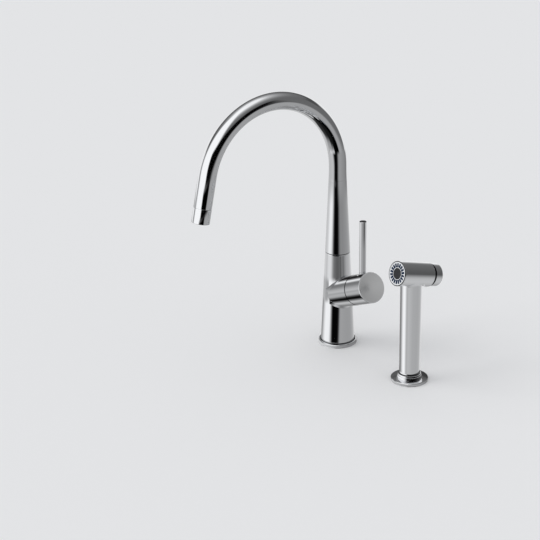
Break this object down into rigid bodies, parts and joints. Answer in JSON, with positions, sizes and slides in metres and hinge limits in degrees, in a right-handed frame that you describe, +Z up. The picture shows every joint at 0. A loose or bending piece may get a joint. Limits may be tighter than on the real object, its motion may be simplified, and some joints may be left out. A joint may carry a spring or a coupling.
{
  "type": "pull-out kitchen faucet",
  "caption": "Chrome kitchen tap with a side lever, a swivelling gooseneck spout with aerator, and a pull-out hand spray with push button, standing in its own deck holder.",
  "frame": {"origin": "centre of the tap's base on the worktop's surface", "axes": "+Z up along the column, -Y over the bowl under the spout, +X to the lever and the hand spray"},
  "size_m": [0.2128, 0.2771, 0.4375],
  "materials": {
    "chrome": "polished",
    "steel": "brushed",
    "brass": "turned",
    "rubber": "matte",
    "white_plastic": "moulded",
    "face_plastic": "glossy",
    "dark_plastic": "satin",
    "blue_plastic": "soft",
    "ceramic": "lapped"
  },
  "bodies": {
    "tap": {"body": "chrome", "base_ring": "chrome", "base_seal": "rubber", "mounting_shank": "brass", "deck_gasket": "rubber", "clamp_washer": "steel", "clamp_nut": "brass", "swivel_washer": "dark_plastic", "spout_glide_rings": "white_plastic", "spout_o_rings": "rubber", "spout_retaining_ring": "steel", "diverter_housing": "white_plastic", "cartridge_base": "white_plastic", "cartridge_base_seals": "rubber", "fixed_ceramic_disc": "ceramic", "cartridge_casing": "white_plastic", "cartridge_nut": "brass", "cover_ring": "chrome", "spray_holder": "chrome", "holder_shank": "brass", "spray_cradle": "dark_plastic", "spray_base_seal": "rubber", "spray_deck_gasket": "rubber", "spray_washer": "steel", "spray_nut": "brass"},
    "spout": {"spout": "chrome", "aerator_housing": "chrome", "aerator_insert": "dark_plastic", "aerator_washer": "rubber"},
    "diverter": {"diverter_spindle": "brass", "diverter_spring": "steel"},
    "carrier": {"cartridge_carrier": "white_plastic", "carrier_o_ring": "rubber", "pivot_pin": "steel"},
    "lever": {"lever_stem": "steel", "lever_cap": "chrome", "lever_rod": "chrome", "lever_grub_screw": "steel", "grub_screw_plug": "dark_plastic"},
    "disc": {"moving_ceramic_disc": "ceramic", "disc_driver": "dark_plastic"},
    "hose_end": {"hose_coupling": "brass", "coupling_clip": "steel", "coupling_o_ring": "rubber"},
    "hand_spray": {"spray_body": "chrome", "spray_ferrule": "dark_plastic", "check_valve": "blue_plastic", "spray_waterway": "white_plastic", "valve_block": "white_plastic", "valve_spring": "steel", "face_gasket": "rubber", "nozzle_ring": "blue_plastic", "spray_faceplate": "face_plastic", "face_centre": "dark_plastic"},
    "button": {"valve_stem": "steel", "valve_washer": "rubber", "spray_button": "chrome", "button_o_ring": "rubber"}
  },
  "joints": [
    {"name": "spout_swivel", "type": "hinge", "parent": "tap", "child": "spout", "pos_m": [0, 0, 0.1368], "axis": [0, 0, 1], "range_deg": [-70, 70]},
    {"name": "diverter_lift", "type": "slide", "parent": "tap", "child": "diverter", "axis": [0, 0, 1], "range_m": [0, 0.0025], "stiffness_N_per_m": 60, "springref_m": -0.005},
    {"name": "lever_turn", "type": "hinge", "parent": "tap", "child": "carrier", "pos_m": [0.03319, 0, 0.08745], "axis": [0.9219, 0, 0.3875], "range_deg": [-45, 45]},
    {"name": "lever_lift", "type": "hinge", "parent": "carrier", "child": "lever", "pos_m": [0.03319, 0, 0.08745], "axis": [0, 1, 0], "range_deg": [0, 25]},
    {"name": "disc_slide", "type": "slide", "parent": "carrier", "child": "disc", "axis": [-0.3875, 0, 0.9219], "range_m": [0, 0.0033]},
    {"name": "spray_pull", "type": "slide", "parent": "tap", "child": "hose_end", "axis": [0, 0, 1], "range_m": [0, 0.15]},
    {"name": "spray_swivel", "type": "hinge", "parent": "hose_end", "child": "hand_spray", "pos_m": [0.1605, 0, 0], "axis": [0, 0, 1], "continuous": true},
    {"name": "button_push", "type": "slide", "parent": "hand_spray", "child": "button", "axis": [0, -0.9694, 0.2453], "range_m": [0, 0.003], "stiffness_N_per_m": 800, "springref_m": -0.003}
  ],
  "couplings": [
    {"joint": "disc_slide", "follows": "lever_lift", "m_per_rad": 0.0074}
  ]
}
